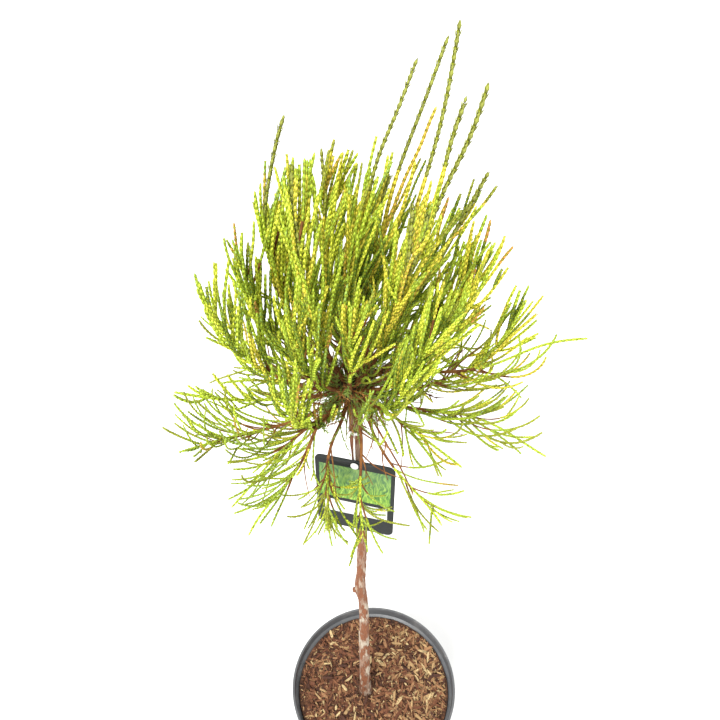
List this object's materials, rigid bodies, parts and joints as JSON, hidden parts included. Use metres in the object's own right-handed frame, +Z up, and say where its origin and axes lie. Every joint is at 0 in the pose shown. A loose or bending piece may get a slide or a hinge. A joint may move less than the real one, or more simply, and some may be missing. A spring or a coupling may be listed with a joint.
{
  "type": "potted franky boy oriental arborvitae",
  "caption": "Grafted standard conifer with hanging thread-like foliage on a bare stem, in a round nursery pot filled with bark mulch, with a plain hanging label.",
  "frame": {"origin": "middle of the flat underside of the pot", "axes": "+Z up along the stem, the plant's front faces -Y and +X is the viewer's right"},
  "size_m": [0.348, 0.2649, 0.9936],
  "materials": {
    "pot_plastic": "moulded, lightly scuffed",
    "mulch": "loose chipped bark",
    "stem_bark": "flaking bark",
    "twig_bark": "thin brown bark",
    "foliage": "overlapping scale leaves",
    "label_card": "printed plastic card",
    "strap_plastic": "moulded"
  },
  "bodies": {
    "root": {"bark_mulch": "mulch", "bough_back_droop": "twig_bark", "bough_back_low": "twig_bark", "bough_back_low_left": "twig_bark", "bough_back_low_right": "twig_bark", "bough_front_hang": "twig_bark", "bough_front_hang_left": "twig_bark", "bough_front_left_droop": "twig_bark", "bough_front_right_droop": "twig_bark", "bough_left_droop": "twig_bark", "bough_left_fan": "twig_bark", "bough_left_reach": "twig_bark", "bough_right_clump": "twig_bark", "bough_right_droop": "twig_bark", "bough_right_fan": "twig_bark", "bough_right_hang": "twig_bark", "bough_right_reach": "twig_bark", "dead_twig_front": "twig_bark", "foliage_back": "foliage", "foliage_back_droop": "foliage", "foliage_back_left": "foliage", "foliage_back_low": "foliage", "foliage_back_low_left": "foliage", "foliage_back_low_right": "foliage", "foliage_back_right": "foliage", "foliage_crown_back": "foliage", "foliage_front": "foliage", "foliage_front_hang": "foliage", "foliage_front_hang_left": "foliage", "foliage_front_left": "foliage", "foliage_front_left_droop": "foliage", "foliage_front_right": "foliage", "foliage_front_right_droop": "foliage", "foliage_left_droop": "foliage", "foliage_left_fan": "foliage", "foliage_left_high": "foliage", "foliage_left_low": "foliage", "foliage_left_reach": "foliage", "foliage_low_front_left": "foliage", "foliage_low_front_right": "foliage", "foliage_right_clump": "foliage", "foliage_right_droop": "foliage", "foliage_right_fan": "foliage", "foliage_right_hang": "foliage", "foliage_right_high": "foliage", "foliage_right_reach": "foliage", "foliage_upper_front_left": "foliage", "foliage_upper_front_right": "foliage", "foliage_upper_left": "foliage", "foliage_upper_right": "foliage", "foliage_whip_far_right": "foliage", "foliage_whip_middle": "foliage", "foliage_whip_right": "foliage", "foliage_whip_top": "foliage", "label_strap": "strap_plastic", "nursery_pot": "pot_plastic", "plant_label": "label_card", "trunk": "stem_bark"}
  },
  "joints": []
}
